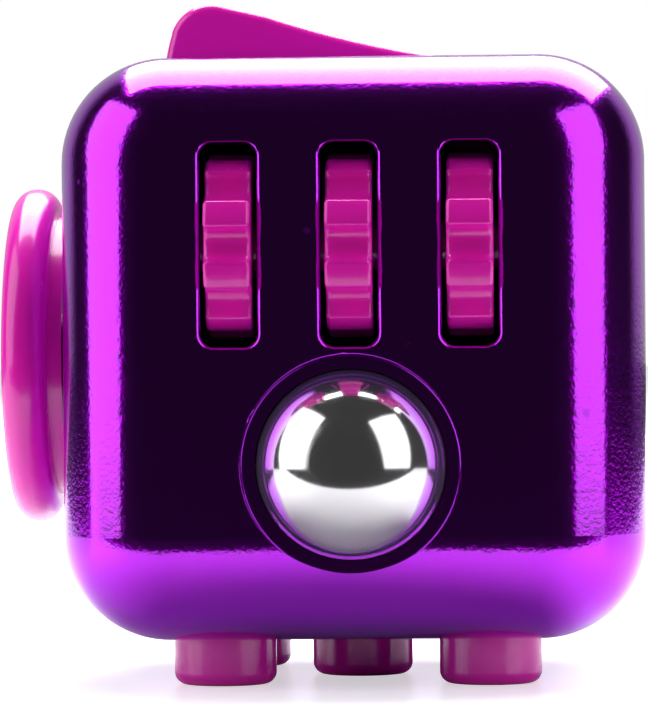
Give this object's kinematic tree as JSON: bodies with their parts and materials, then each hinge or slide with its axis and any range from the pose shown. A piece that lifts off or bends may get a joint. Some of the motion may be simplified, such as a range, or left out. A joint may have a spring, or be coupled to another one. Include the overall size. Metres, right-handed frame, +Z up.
{
  "type": "fidget cube",
  "caption": "Six-sided fidget cube in metallised violet plastic with pink wheels, rocker, dial, joystick and buttons, and a steel ball.",
  "frame": {"origin": "centre of the middle button's tip, on the surface that the cube stands on", "axes": "+Z up, towards the rocker; -Y out of the face with the wheels and the ball; -X out of the face with the dial"},
  "size_m": [0.0368, 0.0395, 0.0392],
  "materials": {
    "shell": "violet metallised gloss plastic, fine orange peel",
    "moving": "magenta gloss plastic",
    "ball": "polished steel",
    "inner": "dark moulded nylon",
    "slide": "natural acetal",
    "steel": "bright steel wire, pins and screws",
    "ring": "black silicone"
  },
  "bodies": {
    "cube": {"front_shell": "shell", "rear_shell": "shell", "wheel_axle": "steel", "roll_carrier": "inner", "roll_carrier_screws": "steel", "ball_spring": "steel", "rocker_pin": "steel", "rocker_bracket": "inner", "rocker_detent_spring": "steel", "rocker_bracket_screws": "steel", "joystick_housing": "inner", "joystick_centring_ring": "ring", "joystick_housing_screws": "steel", "button_plate": "inner", "button_plate_screws": "steel", "click_domes": "steel", "front_left_button_spring": "steel", "front_right_button_spring": "steel", "centre_button_spring": "steel", "rear_left_button_spring": "steel", "rear_right_button_spring": "steel"},
    "left_wheel_body": {"left_wheel": "moving"},
    "middle_wheel_body": {"middle_wheel": "moving"},
    "right_wheel_body": {"right_wheel": "moving"},
    "ball_seat": {"ball_cup": "slide"},
    "ball_body": {"ball": "ball"},
    "rocker_body": {"rocker": "moving"},
    "dial_body": {"dial": "moving", "dial_washer": "steel", "dial_screw": "steel"},
    "slider_body": {"joystick_slider": "slide"},
    "joystick_body": {"joystick_cap": "moving", "joystick_stem": "inner"},
    "front_left_button_body": {"front_left_button": "moving"},
    "front_right_button_body": {"front_right_button": "moving"},
    "centre_button_body": {"centre_button": "moving"},
    "rear_left_button_body": {"rear_left_button": "moving"},
    "rear_right_button_body": {"rear_right_button": "moving"}
  },
  "joints": [
    {"name": "left_wheel_spin", "type": "hinge", "parent": "cube", "child": "left_wheel_body", "pos_m": [-0.0067, -0.01315, 0.02495], "axis": [1, 0, 0], "continuous": true},
    {"name": "middle_wheel_spin", "type": "hinge", "parent": "cube", "child": "middle_wheel_body", "pos_m": [0, -0.01315, 0.02495], "axis": [1, 0, 0], "continuous": true},
    {"name": "right_wheel_spin", "type": "hinge", "parent": "cube", "child": "right_wheel_body", "pos_m": [0.0067, -0.01315, 0.02495], "axis": [1, 0, 0], "continuous": true},
    {"name": "ball_press", "type": "slide", "parent": "cube", "child": "ball_seat", "axis": [0, 1, 0], "range_m": [0, 0.0006], "stiffness_N_per_m": 1500, "springref_m": -0.0004, "deforming": ["ball_spring"]},
    {"name": "ball_roll", "type": "hinge", "parent": "ball_seat", "child": "ball_body", "pos_m": [0, -0.0148, 0.0127], "axis": [1, 0, 0], "continuous": true},
    {"name": "rocker_flip", "type": "hinge", "parent": "cube", "child": "rocker_body", "pos_m": [0, 0, 0.0342], "axis": [0, -1, 0], "range_deg": [0, 26], "deforming": ["rocker_detent_spring"]},
    {"name": "dial_spin", "type": "hinge", "parent": "cube", "child": "dial_body", "pos_m": [-0.0185, 0, 0.0189], "axis": [1, 0, 0], "continuous": true},
    {"name": "joystick_glide_side", "type": "slide", "parent": "cube", "child": "slider_body", "axis": [1, 0, 0], "range_m": [-0.0013, 0.0013], "stiffness_N_per_m": 300, "deforming": ["joystick_centring_ring"]},
    {"name": "joystick_glide_up", "type": "slide", "parent": "slider_body", "child": "joystick_body", "axis": [0, 0, 1], "range_m": [-0.0013, 0.0013], "stiffness_N_per_m": 300, "deforming": ["joystick_centring_ring"]},
    {"name": "front_left_button_press", "type": "slide", "parent": "cube", "child": "front_left_button_body", "axis": [0, 0, 1], "range_m": [0, 0.001], "stiffness_N_per_m": 1500, "springref_m": -0.0006, "deforming": ["front_left_button_spring"]},
    {"name": "front_right_button_press", "type": "slide", "parent": "cube", "child": "front_right_button_body", "axis": [0, 0, 1], "range_m": [0, 0.001], "stiffness_N_per_m": 1500, "springref_m": -0.0006, "deforming": ["front_right_button_spring"]},
    {"name": "centre_button_press", "type": "slide", "parent": "cube", "child": "centre_button_body", "axis": [0, 0, 1], "range_m": [0, 0.001], "stiffness_N_per_m": 1500, "springref_m": -0.0006, "deforming": ["centre_button_spring"]},
    {"name": "rear_left_button_press", "type": "slide", "parent": "cube", "child": "rear_left_button_body", "axis": [0, 0, 1], "range_m": [0, 0.001], "stiffness_N_per_m": 1500, "springref_m": -0.0006, "deforming": ["rear_left_button_spring"]},
    {"name": "rear_right_button_press", "type": "slide", "parent": "cube", "child": "rear_right_button_body", "axis": [0, 0, 1], "range_m": [0, 0.001], "stiffness_N_per_m": 1500, "springref_m": -0.0006, "deforming": ["rear_right_button_spring"]}
  ]
}
